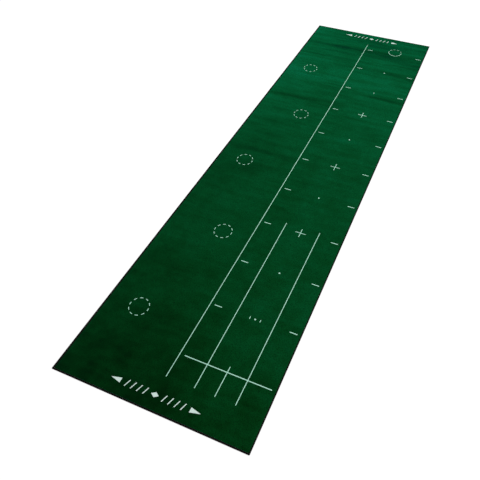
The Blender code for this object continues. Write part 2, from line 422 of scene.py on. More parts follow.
@dataclass(frozen=True)
class ThreadFinish:
    """Black overlock thread: twisted plies with a faint brown cast where it catches the light."""

    dark: Colour = (0.0022, 0.0016, 0.0012)
    lit: Colour = (0.0075, 0.0050, 0.0038)

    def material(self) -> bpy.types.Material:
        """Build the finish."""
        shader = Shader("black_overlock_thread")
        plies = shader.noise(1500.0, 2.0, 0.5)
        wear = shader.spread(shader.noise(25.0, 3.0, 0.6), 0.3, 0.7, 0.4, 1.0)
        # Painted highlight: the lit colour lies on the plies where they catch the light, in patches of
        # wear.
        glinting_and_worn = shader.maths("MULTIPLY", shader.spread(plies, 0.35, 0.7), wear)
        shader.join(shader.blend(glinting_and_worn, self.dark, self.lit), "Base Color")
        shader.join(shader.spread(plies, 0.3, 0.7, 0.62, 0.85), "Roughness")
        shader.fixed(specular_IOR_level=0.12)
        shader.relief(plies, 0.5, 0.2 * MM)
        return shader.material


@dataclass(frozen=True)
class RubberFinish:
    """Matte black natural rubber with a fine woven imprint from the press blanket."""

    dark: Colour = (0.010, 0.010, 0.010)
    dusty: Colour = (0.035, 0.034, 0.032)

    def material(self) -> bpy.types.Material:
        """Build the finish."""
        shader = Shader("black_backing_rubber")
        dust = shader.noise(9.0, 5.0, 0.65)
        imprint = shader.cells(700.0)
        dusted = shader.spread(dust, 0.45, 0.75, 0.0, 0.7)
        shader.join(shader.blend(dusted, self.dark, self.dusty), "Base Color")
        shader.join(shader.spread(dust, 0.3, 0.7, 0.55, 0.8), "Roughness")
        shader.fixed(specular_IOR_level=0.35)
        shader.relief(imprint, 0.35, 0.2 * MM)
        return shader.material


@dataclass(frozen=True)
class SheetFinish:
    """A plain inner sheet: latex or tufting cloth."""

    name: str
    pale: Colour
    dull: Colour
    grain: float

    def material(self) -> bpy.types.Material:
        """Build the finish."""
        shader = Shader(self.name)
        grain = shader.noise(self.grain, 3.0, 0.6)
        shader.join(shader.blend(shader.spread(grain, 0.3, 0.7), self.pale, self.dull), "Base Color")
        shader.fixed(roughness=0.85, specular_IOR_level=0.2)
        shader.relief(grain, 0.4, 0.2 * MM)
        return shader.material


# ---- How the mat lies on the floor ----
def rising(y: np.ndarray, start: float, power: float) -> np.ndarray:
    """Share that rises along the mat as t^power, from start at the near end to 1 at the far end."""
    return start + (1 - start) * np.clip((y + HALF_LENGTH) / (2 * HALF_LENGTH), 0, 1) ** power


@dataclass(frozen=True)
class Ripple:
    """One low line across the mat: a ripple that the roll has left, or a line in the stored number that
    carries the pile's lie and painted light.

    Attributes:
        y: Where it crosses the middle of the mat.
        height: How much it adds at its crest, in metres for a ripple, and for a line in the stored number
            of pile and painted light.
        width: Its half width along the mat.
        slant: Change in y for each metre across.
        middle: Where across the mat it is strongest.
        reach: How far to each side it fades out.
    """

    y: float
    height: float
    width: float
    slant: float = 0.0
    middle: float = 0.0
    reach: float = 0.6

    def at(self, x: np.ndarray, y: np.ndarray) -> np.ndarray:
        """What the line adds at each place.

        It is height * exp(-(d / width)^2), with d the distance from the slanted line, faded across the mat
        by exp(-((x - middle) / reach)^2).
        """
        off = (y - self.y - self.slant * x) / self.width
        return self.height * np.exp(-(off**2) - ((x - self.middle) / self.reach) ** 2)


@dataclass(frozen=True)
class Mottle:
    """A smooth random field: seeded lattice values, blended by the smoothstep 3t^2 - 2t^3 between them."""

    seed: int
    step_x: float
    step_y: float
    half_x: float = 0.5
    half_y: float = 1.4

    def at(self, x: np.ndarray, y: np.ndarray) -> np.ndarray:
        """Value of the field, from -1 to 1, inside half_x and half_y of the mat's middle."""
        rng = np.random.default_rng(self.seed)
        count_x, count_y = (int(2 * half / step) + 3
                            for half, step in ((self.half_x, self.step_x), (self.half_y, self.step_y)))
        lattice = rng.uniform(-1, 1, (count_y, count_x))
        u, v = (x + self.half_x) / self.step_x, (y + self.half_y) / self.step_y
        i, j = np.floor(u).astype(int), np.floor(v).astype(int)
        s, t = ((3 - 2 * part) * part**2 for part in (u - i, v - j))
        near_row = lattice[j, i] * (1 - s) + lattice[j, i + 1] * s
        far_row = lattice[j + 1, i] * (1 - s) + lattice[j + 1, i + 1] * s
        return near_row * (1 - t) + far_row * t


@dataclass(frozen=True)
class FloorLie:
    """The height of the mat's underside above the floor: almost flat, with ripples towards the far end."""

    ripples: tuple[Ripple, ...] = (
        Ripple(0.455, 0.9 * MM, 0.026, slant=0.010, middle=-0.20, reach=0.30),
        Ripple(0.505, 0.6 * MM, 0.030, slant=0.012, middle=-0.20, reach=0.34),
        Ripple(0.620, 0.9 * MM, 0.030, slant=-0.035, middle=0.25, reach=0.24),
        Ripple(0.700, 0.8 * MM, 0.045, slant=-0.020, middle=0.05, reach=0.50),
        Ripple(0.860, 1.0 * MM, 0.030, slant=-0.030, middle=0.20, reach=0.30),
        Ripple(0.925, 1.0 * MM, 0.035, slant=0.015, middle=-0.15, reach=0.40),
        Ripple(1.050, 1.2 * MM, 0.040, slant=-0.010, middle=0.0, reach=0.60),
    )
    waves: tuple[tuple[Mottle, float], ...] = (
        (Mottle(3, 0.30, 0.050), 0.55 * MM),
        (Mottle(4, 0.20, 0.024), 0.28 * MM),
        (Mottle(5, 0.14, 0.014), 0.12 * MM),
    )

    def height(self, x: np.ndarray, y: np.ndarray) -> np.ndarray:
        """Height of the underside.

        Under the ripples lie faint random waves, long across the mat and short along it, which grow from
        the near end to full height at the far end.

        Args:
            x: Places across the mat.
            y: Places along it.

        Returns:
            Heights, never below the floor.
        """
        lift = sum(ripple.at(x, y) for ripple in self.ripples)
        growth = rising(y, 0.12, 2)
        for mottle, height in self.waves:
            lift = lift + height * growth * (0.5 + 0.5 * mottle.at(x, y))
        return np.maximum(lift, 0.0)


@dataclass(frozen=True)
class NapAndLight:
    """Partly how the pile stands, partly painted light and shade: a number from 0, dark, to 1, light."""

    patches: tuple[tuple[Mottle, float], ...] = (
        (Mottle(21, 0.110, 0.150), 0.06),
        (Mottle(22, 0.045, 0.050), 0.06),
        (Mottle(23, 0.018, 0.016), 0.06),
    )
    streaks: tuple[tuple[Mottle, float], ...] = (
        (Mottle(31, 0.160, 0.030), 0.20),
        (Mottle(32, 0.090, 0.013), 0.20),
    )
    # Most of these lines are dark and lie along the floor lie's ripples: painted shade in those creases,
    # partly crushed pile.
    lines: tuple[Ripple, ...] = (
        Ripple(-0.010, -0.16, 0.016, slant=0.05, middle=-0.20, reach=0.16),
        Ripple(0.025, 0.14, 0.016, slant=0.05, middle=-0.20, reach=0.16),
        Ripple(0.200, -0.16, 0.012, slant=-0.04, middle=-0.22, reach=0.14),
        Ripple(0.450, -0.34, 0.014, slant=0.06, middle=-0.20, reach=0.18),
        Ripple(0.590, -0.30, 0.012, slant=-0.06, middle=0.20, reach=0.16),
        Ripple(0.830, -0.30, 0.014, slant=-0.05, middle=0.22, reach=0.16),
        Ripple(0.880, -0.34, 0.012, slant=0.03, middle=-0.15, reach=0.22),
        Ripple(0.940, -0.30, 0.012, slant=0.02, middle=-0.12, reach=0.24),
        Ripple(1.000, -0.34, 0.014, slant=0.02, middle=-0.10, reach=0.30),
    )
    mean: float = 0.63
    # Painted light and shade: these broad areas darken the near end, most on the left, the left middle and
    # the far end, and lighten a band on the left beyond the middle.
    areas: tuple[tuple[float, float, float, float, float], ...] = (
        (-0.45, -1.30, 0.91, 0.49, -0.58),
        (-0.45, -0.07, 0.52, 0.57, -0.29),
        (-0.34, 0.63, 0.12, 0.48, 0.24),
        (-0.26, 0.68, 0.61, 0.07, 0.22),
        (0.11, 0.98, 0.29, 0.05, -0.30),
        (-0.21, -0.76, 0.15, 0.16, -0.13),
        (0.07, 1.09, 0.23, 0.08, -0.29),
        (0.36, 0.91, 0.12, 0.23, -0.17),
        (0.27, -0.55, 0.20, 0.30, -0.06),
        (-0.20, -0.40, 0.12, 0.25, -0.05),
    )

    def at(self, x: np.ndarray, y: np.ndarray) -> np.ndarray:
        """How the pile lies at each place, with painted light and shade: the mean, broad areas of painted
        light and shade, soft patches, lines, and streaks that grow far off.

        An area is its middle (x, y), its reach on both axes and its change, which fades as a Gaussian.
        """
        nap_and_light = np.full(np.broadcast(x, y).shape, self.mean)
        for x_middle, y_middle, reach_x, reach_y, change in self.areas:
            off = ((x - x_middle) / reach_x) ** 2 + ((y - y_middle) / reach_y) ** 2
            nap_and_light = nap_and_light + change * np.exp(-off)
        for mottle, share in self.patches:
            nap_and_light = nap_and_light + share * mottle.at(x, y)
        growth = rising(y, 0.22, 2.2)
        for mottle, share in self.streaks:
            nap_and_light = nap_and_light + share * growth * mottle.at(x, y)
        nap_and_light = nap_and_light + sum(line.at(x, y) for line in self.lines)
        return np.clip(nap_and_light, 0.0, 1.0)


LIE = FloorLie()


# ---- The layers ----
def edge_lines(half: float, near_edge: tuple[float, ...], step: float) -> np.ndarray:
    """Places of grid lines across a span: close together at both edges, and even between them.

    Args:
        half: Half of the span.
        near_edge: Distances in from an edge that get a line of their own.
        step: Spacing of the rest, at most.

    Returns:
        The places, in rising order from -half to half.
    """
    inner = half - near_edge[-1]
    count = max(2, int(math.ceil(2 * inner / step)) + 1)
    rim = half - np.array(near_edge[:-1])
    return np.concatenate([-rim, np.linspace(-inner, inner, count), rim[::-1]])


def lay_sheet(shells: Shells, box: tuple, inset: float, bottom: float, top: float) -> None:
    """Add a flat sheet that follows the floor lie.

    Args:
        shells: Where it goes.
        box: Low and high corners of the CAD node that it fills.
        inset: How far it stays inside that box.
        bottom: Height of its underside.
        top: Height of its top.
    """
    low, high = box
    x = np.linspace(low.x + inset, high.x - inset, SHEET_GRID[0])
    y = np.linspace(low.y + inset, high.y - inset, SHEET_GRID[1])
    lie = LIE.height(*np.meshgrid(x, y))
    shells.slab(x, y, top + lie, bottom + lie)


@dataclass(frozen=True)
class GreenPile:
    """The cut pile: one dense sheet with rounded shoulders where the overlock pulls it down."""

    half_width: float
    half_length: float
    bottom: float
    top: float
    shoulder: float = 5.0 * MM
    shoulder_drop: float = 0.5 * MM
    lean: float = 4.2 * MM
    lip: float = 0.97
    grain: float = 0.05 * MM
    step_across: float = 6.0 * MM
    step_along: float = 3.1 * MM
    lines: tuple[float, ...] = (0.0, 0.7 * MM, 1.6 * MM, 2.9 * MM, 4.6 * MM, 7.0 * MM)
    brush_level: float = 0.35
    brush: tuple[tuple[Mottle, float], ...] = (
        (Mottle(41, 0.200, 0.027), 0.45 * MM),
        (Mottle(42, 0.120, 0.014), 0.22 * MM),
    )

    def surface(self, x: np.ndarray, y: np.ndarray) -> np.ndarray:
        """Height of the pile's face.

        It is the top height plus the floor lie and the brush marks, less the shoulder, which drops by
        shoulder_drop * (1 - d / shoulder)^2 with d the distance in from the nearest edge.

        Args:
            x: Places across the mat.
            y: Places along it.

        Returns:
            Heights of the face.
        """
        inwards = np.minimum(self.half_width - np.abs(x - self.lean), self.half_length - np.abs(y))
        lack = np.clip(1 - inwards / self.shoulder, 0, 1)
        face = self.top + LIE.height(x, y) - self.shoulder_drop * lack**2
        growth = rising(y, 0.15, 1.5)
        for mottle, height in self.brush:
            face = face + height * growth * (1 - lack) * (mottle.at(x, y) - self.brush_level)
        return face

    def build(self) -> bpy.types.Object:
        """Build and dress the pile.

        The face gets a seeded grain of less than a tenth of a millimetre, so that it isn't a perfect plane.

        Returns:
            The finished piece.
        """
        x = edge_lines(self.half_width, self.lines, self.step_across)
        y = edge_lines(self.half_length, self.lines, self.step_along)
        across, along = np.meshgrid(x, y)
        face = self.surface(across + self.lean, along)
        face += np.random.default_rng(7).normal(0.0, self.grain, face.shape)
        shells = Shells()
        shells.slab(x, y, face, self.bottom + LIE.height(across, along), self.lean, self.lip)
        pile = shells.piece("green_cut_pile")
        places = np.concatenate(shells.points)
        # The stored number carries painted light and shade along with the pile's lie; the finish darkens
        # and lightens the green by it.
        stored = pile.data.attributes.new("nap_and_light", "FLOAT", "POINT")
        stored.data.foreach_set("value", NapAndLight().at(places[:, 0], places[:, 1]).astype(np.float32))
        return dress(pile, PileFinish().material(), "green_pile")


@dataclass(frozen=True)
class InnerSheet:
    """A thin sealed layer: it follows the floor lie at its own height."""

    name: str
    node: str
    slot: str
    finish: SheetFinish
    inset: float = 0.6 * MM
    thickest: float = 0.4 * MM

    def build(self) -> bpy.types.Object:
        """Build and dress the layer in its CAD node's space, clear of the edge's rounded corners."""
        low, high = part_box(self.node)
        shells = Shells()
        lay_sheet(shells, (low, high), self.inset, low.z, low.z + min(high.z - low.z, self.thickest))
        return dress(shells.piece(self.name), self.finish.material(), self.node)


@dataclass(frozen=True)
class RubberSheet:
    """The rubber backing: a smooth sheet, stepped up under the hem, with round grip nubs on its sole."""

    nub_pitch: float = 15.0 * MM
    nub_radius: float = 2.6 * MM
    nub_height: float = 0.45 * MM
    nub_sides: int = 8
    rim_inset: float = 0.6 * MM
    field_drop: float = 0.2 * MM

    def build(self, rim: float, thin: float) -> list[bpy.types.Object]:
        """Build and dress the sheet and its nubs.

        Args:
            rim: Width of the thin rim that the overlock wraps.
            thin: Height of the rim's underside above the floor.

        Returns:
            The sheet and the nubs.
        """
        low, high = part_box("rubber_backing")
        sole = low.z + self.nub_height
        finish = RubberFinish().material()
        shells = Shells()
        lay_sheet(shells, (low, high), self.rim_inset, thin, high.z)
        lay_sheet(shells, (low, high), rim, sole, high.z - self.field_drop)
        sheet = shells.piece("rubber_sheet")
        nubs = self.nubs(low.x + rim, low.y + rim, sole)
        return [dress(piece, finish, "rubber_backing") for piece in (sheet, nubs)]

    def nubs(self, left: float, near: float, sole: float) -> bpy.types.Object:
        """Round nubs in staggered rows: each is a flat dome, two rings and a rounded sole.

        Args:
            left: The field's left limit.
            near: Its near limit.
            sole: Height of the sheet's underside.

        Returns:
            All the nubs as one object.
        """
        columns = int(2 * abs(left) / self.nub_pitch) - 1
        rows = int(2 * abs(near) / self.nub_pitch) - 1
        i, j = np.meshgrid(np.arange(columns), np.arange(rows))
        x = (i - (columns - 1) / 2 + 0.25 * np.where(j % 2, 1, -1)) * self.nub_pitch
        y = (j - (rows - 1) / 2) * self.nub_pitch
        centre = np.stack([x, y, sole + LIE.height(x, y)], -1).reshape(-1, 1, 1, 3)
        turn = turns(self.nub_sides)
        rings = np.array([(1.0, 0.3 * MM), (0.94, -0.6 * self.nub_height), (0.62, -self.nub_height)])
        shape = np.stack([rings[:, :1] * np.cos(turn) * self.nub_radius,
                          rings[:, :1] * np.sin(turn) * self.nub_radius,
                          np.repeat(rings[:, 1:], self.nub_sides, 1)], -1)
        shells = Shells()
        shells.tubes(centre + shape[None])
        return shells.piece("grip_nubs")


# ---- The white marks ----
@dataclass(frozen=True)
class TuftRows:
    """How the white yarn stands: crowned rows of tufts, a little proud of the green."""

    pile: GreenPile
    proud: float = 0.16 * MM
    crown: float = 0.34 * MM
    bump: float = 0.07 * MM
    pitch: float = 3.2 * MM
    root: float = 1.6 * MM
    ragged: float = 0.02
    step: float = 0.8 * MM
    columns: int = 7
    end_width: float = 0.72

    def strip(self, shells: Shells, line: np.ndarray, width: float, lift: float = 0.0) -> None:
        """Add a narrow mark along a line.

        Across it, s runs from -1 to 1 and the height is proud + crown * (1 - s^4), with tuft heads
        bump * cos(2 pi t / pitch) * cos(pi s) where t is the distance along. The width wanders by a few
        per cent, and draws in over the last millimetre at each end.

        Args:
            shells: Where the mark goes.
            line: Its centre line, an array of x, y.
            width: Its full width.
            lift: Extra height, which keeps crossing marks apart.
        """
        along = np.concatenate([[0.0], np.cumsum(np.hypot(*np.diff(line, axis=0).T))])
        count = max(6, int(along[-1] / self.step))
        t = np.linspace(0, along[-1], count)
        centre = np.stack([np.interp(t, along, line[:, k]) for k in range(2)], -1)
        heading = np.gradient(centre, axis=0)
        heading /= np.linalg.norm(heading, axis=1, keepdims=True)
        side = np.stack([heading[:, 1], -heading[:, 0]], -1)
        wander = 1 + self.ragged * np.random.default_rng(count).normal(0, 1, count)
        end = np.clip(np.minimum(t, along[-1] - t) / MM, 0, 1)
        ends = (self.end_width + (1 - self.end_width) * np.sqrt(1 - (1 - end) ** 2))
        half = width / 2 * wander * ends
        s = np.linspace(-1, 1, self.columns)
        flat = centre[:, None] + (half[:, None] * s)[..., None] * side[:, None]
        heads = self.bump * np.cos(2 * math.pi * t / self.pitch)[:, None] * np.cos(math.pi * s)
        up = self.proud + lift + self.crown * (1 - s**4) + heads
        face = self.pile.surface(flat[..., 0], flat[..., 1])
        top = np.concatenate([flat, (face + up)[..., None]], -1)
        foot = top[:, [-1, 0]].copy()
        foot[..., 2] = face[:, [-1, 0]] - self.root
        shells.tubes(np.concatenate([top, foot], 1)[None])

    def patch(self, shells: Shells, outline: list[tuple[float, float]]) -> None:
        """Add a solid mark inside a convex outline.

        It is made of rings that shrink from the outline to its middle; r runs from 0 there to 1, and the
        height is proud + crown * (1 - r^8), with tuft heads
        bump * sin(2 pi x / pitch) * sin(2 pi y / pitch).

        Args:
            shells: Where the mark goes.
            outline: Its corners in order.
        """
        corners = np.array(outline)
        middle = corners.mean(0)
        sides = []
        for start, stop in zip(corners, np.roll(corners, -1, 0)):
            count = max(2, int(math.hypot(*(stop - start)) / self.step))
            sides.append(start + (stop - start) * np.linspace(0, 1, count, endpoint=False)[:, None])
        rim = np.concatenate(sides)
        reach = float(np.linalg.norm(rim - middle, axis=1).max())
        r = np.concatenate([[0.02], np.linspace(0, 1, max(4, int(reach / self.step)))[1:-1], [0.97, 1.0]])
        flat = middle + r[:, None, None] * (rim - middle)
        wave = 2 * math.pi / self.pitch
        heads = self.bump * np.sin(wave * flat[..., 0]) * np.sin(wave * flat[..., 1])
        face = self.pile.surface(flat[..., 0], flat[..., 1])
        up = self.proud + self.crown * (1 - r**8)[:, None] + heads
        top = np.concatenate([flat, (face + up)[..., None]], -1)
        foot = top[-1:].copy()
        foot[..., 2] = face[-1:] - self.root
        shells.tubes(np.concatenate([top, foot])[None])


@dataclass(frozen=True)
class MarkLayout:
    """Where the white marks are; distances along the mat run from its near edge."""

    length: float
    stroke: float = 2.5 * MM
    cross_stroke: float = 3.0 * MM
    aim_x: float = 0.0045
    lane_x: float = 0.1675
    lines_start: float = 0.1095
    aim_end: float = 2.273
    gate_half: float = 0.0673
    gate_end: float = 0.826
    short_line_end: float = 0.211
    crossbar_y: float = 0.191
    crossbar_half: float = 0.146
    first_row: float = 0.391
    row_pitch: float = 0.2035
    row_count: int = 10
    tick_offset: float = 0.134
    tick_length: float = 0.027
    cross_rows: tuple[int, ...] = (3, 5, 7)
    spot_rows: tuple[int, ...] = (1, 2, 4, 6, 8, 9)
    cross_size: float = 0.041
    spot_diameter: float = 0.0062
    spot_sides: int = 12
    ball_bar_offset: float = 0.0185
    ball_bar_length: float = 0.0095
    ring_radius: float = 0.034
    ring_dashes: int = 10
    dash_angle: float = math.radians(18)
    ring_columns: tuple[float, float] = (-0.208, -0.105)
    target_y: float = 2.247
    emblem_y: float = 0.0485
    arrow_tip: float = 0.151
    arrow_length: float = 0.034
    arrow_height: float = 0.016
    slash_count: int = 4
    slash_first: float = 0.030
    slash_pitch: float = 0.021
    slash_height: float = 0.022
    slash_lean: float = 0.008
    slash_width: float = 0.0032
    lozenge: tuple[float, float] = (0.013, 0.008)

    def along(self, distance: float) -> float:
        """World Y of a distance measured from the near edge."""
        return distance - self.length / 2

    def rows(self) -> list[tuple[int, float]]:
        """Number and world Y of each distance row."""
        return [(k + 1, self.along(self.first_row + k * self.row_pitch)) for k in range(self.row_count)]

    def rings(self) -> list[tuple[float, float]]:
        """Middles of the dashed rings, half a row before every odd row."""
        return [(self.ring_columns[k % 2], self.along(self.first_row + (2 * k - 0.5) * self.row_pitch))
                for k in range(self.row_count // 2)]


class MarkGroup(Enum):
    """The groups of marks; each becomes one piece of white yarn."""

    AIM_LINE = "aim_line_tufts"
    GATE = "gate_line_tufts"
    CROSSES = "cross_tufts"
    TICKS = "distance_tick_tufts"
    SPOTS = "ball_spot_tufts"
    RINGS = "dashed_ring_tufts"
    TARGET = "target_ring_tufts"
    EMBLEM_NEAR = "emblem_tufts_near"
    EMBLEM_FAR = "emblem_tufts_far"


@dataclass(frozen=True)
class WhiteMarks:
    """All the white yarn marks, laid out on the pile."""

    layout: MarkLayout
    rows: TuftRows
    yarn: MarkFinish = MarkFinish()
    # Its second colour is painted shade between the tufts.
    emblem_yarn: MarkFinish = MarkFinish("white_emblem_yarn", (0.80, 0.94, 0.89), (0.52, 0.68, 0.62))

    def straight(self, shells: Shells, x: float, y: float, size: tuple[float, float],
                 lift: float = 0.0) -> None:
        """Add a straight mark about its middle.

        Args:
            shells: Where it goes.
            x: Its middle across the mat.
            y: Its middle along the mat, in world Y.
            size: Its size along X and along Y; the longer one is its direction.
            lift: Extra height.
        """
        wide, long = size
        if long >= wide:
            line = np.array([(x, y - long / 2), (x, y + long / 2)])
        else:
            line = np.array([(x - wide / 2, y), (x + wide / 2, y)])
        self.rows.strip(shells, line, min(size), lift)

    def lengthwise(self, shells: Shells, x: float, start: float, end: float) -> None:
        """Add a line along the mat between two distances from the near edge."""
        plan = self.layout
        self.straight(shells, x, plan.along((start + end) / 2), (plan.stroke, end - start))

    def dash(self, shells: Shells, x: float, y: float, middle: float, span: float) -> None:
        """Add a curved dash of a ring: points on the arc span radians long about its middle angle."""
        turn = np.linspace(middle - span / 2, middle + span / 2, max(5, int(span / 0.05)))
        arc = self.layout.ring_radius * np.stack([np.cos(turn), np.sin(turn)], -1) + (x, y)
        self.rows.strip(shells, arc, self.layout.stroke)

    def aim_line(self, shells: Shells) -> None:
        """The long line down the middle."""
        self.lengthwise(shells, self.layout.aim_x, self.layout.lines_start, self.layout.aim_end)

    def gate(self, shells: Shells) -> None:
        """Two gate lines, the short line between them and the crossbar over all three."""
        plan = self.layout
        for x in (plan.lane_x - plan.gate_half, plan.lane_x + plan.gate_half):
            self.lengthwise(shells, x, plan.lines_start, plan.gate_end)
        self.lengthwise(shells, plan.lane_x, plan.lines_start, plan.short_line_end)
        self.straight(shells, plan.lane_x, plan.along(plan.crossbar_y),
                      (2 * plan.crossbar_half, plan.cross_stroke), CROSSING_LIFT)

    def crosses(self, shells: Shells) -> None:
        """A plus sign on each cross row."""
        plan = self.layout
        for number, y in plan.rows():
            if number in plan.cross_rows:
                self.straight(shells, plan.lane_x, y, (plan.stroke, plan.cross_size))
                self.straight(shells, plan.lane_x, y, (plan.cross_size, plan.stroke), CROSSING_LIFT)

    def ticks(self, shells: Shells) -> None:
        """A tick on both sides of the lane at every row."""
        plan = self.layout
        for _, y in plan.rows():
            for side in (-1, 1):
                x = plan.lane_x + side * plan.tick_offset
                self.straight(shells, x, y, (plan.tick_length, plan.cross_stroke))

    def spots(self, shells: Shells) -> None:
        """Round ball spots, and the two bars beside the first one."""
        plan = self.layout
        turn = turns(plan.spot_sides)
        disc = np.stack([np.cos(turn), np.sin(turn)], -1) * plan.spot_diameter / 2
        for number, y in plan.rows():
            if number in plan.spot_rows:
                self.rows.patch(shells, [tuple(p) for p in disc + (plan.lane_x, y)])
        for side in (-1, 1):
            self.straight(shells, plan.lane_x + side * plan.ball_bar_offset, plan.rows()[0][1],
                          (plan.stroke, plan.ball_bar_length))

    def rings(self, shells: Shells) -> None:
        """The dashed rings down the left half."""
        for x, y in self.layout.rings():
            for turn in turns(self.layout.ring_dashes):
                self.dash(shells, x, y, turn, self.layout.dash_angle)

    def target(self, shells: Shells) -> None:
        """The target ring: dashed on its far half, one solid arc on its near half."""
        plan = self.layout
        y = plan.along(plan.target_y)
        for turn in turns(plan.ring_dashes):
            if plan.dash_angle / 2 < turn < math.pi - plan.dash_angle / 2:
                self.dash(shells, plan.lane_x, y, turn, plan.dash_angle)
        self.dash(shells, plan.lane_x, y, 1.5 * math.pi, math.pi + plan.dash_angle)

    def emblem(self, shells: Shells, end: int) -> None:
        """A lozenge, slanted bars and outward arrowheads on one line.

        Args:
            shells: Where it goes.
            end: -1 for the near end and 1 for the far end.
        """
        plan = self.layout
        long, high = plan.lozenge
        half = plan.slash_height / 2
        shapes = [[(-long, 0), (0, -high), (long, 0), (0, high)]]
        tail = plan.arrow_tip - plan.arrow_length
        one_side = [[(plan.arrow_tip, 0), (tail, plan.arrow_height / 2), (tail, -plan.arrow_height / 2)]]
        for k in range(plan.slash_count):
            foot = plan.slash_first + k * plan.slash_pitch - plan.slash_lean / 2
            head = foot + plan.slash_lean
            width = plan.slash_width
            one_side.append([(foot, -half), (foot + width, -half), (head + width, half), (head, half)])
        shapes += one_side + [[(-x, -y) for x, y in shape] for shape in one_side]
        y_middle = end * (plan.length / 2 - plan.emblem_y)
        for shape in shapes:
            self.rows.patch(shells, [(x + plan.aim_x, y + y_middle) for x, y in shape])

    def build(self) -> list[bpy.types.Object]:
        """Build and dress every group of marks.

        Returns:
            One piece for each group.
        """
        makers = {
            MarkGroup.AIM_LINE: self.aim_line,
            MarkGroup.GATE: self.gate,
            MarkGroup.CROSSES: self.crosses,
            MarkGroup.TICKS: self.ticks,
            MarkGroup.SPOTS: self.spots,
            MarkGroup.RINGS: self.rings,
            MarkGroup.TARGET: self.target,
            MarkGroup.EMBLEM_NEAR: lambda shells: self.emblem(shells, -1),
            MarkGroup.EMBLEM_FAR: lambda shells: self.emblem(shells, 1),
        }
        plain, bright = self.yarn.material(), self.emblem_yarn.material()
        pieces = []
        for group, maker in makers.items():
            shells = Shells()
            maker(shells)
            yarn = bright if group in (MarkGroup.EMBLEM_NEAR, MarkGroup.EMBLEM_FAR) else plain
            pieces.append(dress(shells.piece(group.value), yarn, "backing_cloth_white_tufts"))
        return pieces


# ---- The overlocked edges ----
class Side(Enum):
    """The mat's sides: the turn about Z that brings a left-hand edge there, in quarter turns."""

    LEFT = 0
    NEAR = 1
    RIGHT = 2
    FAR = 3


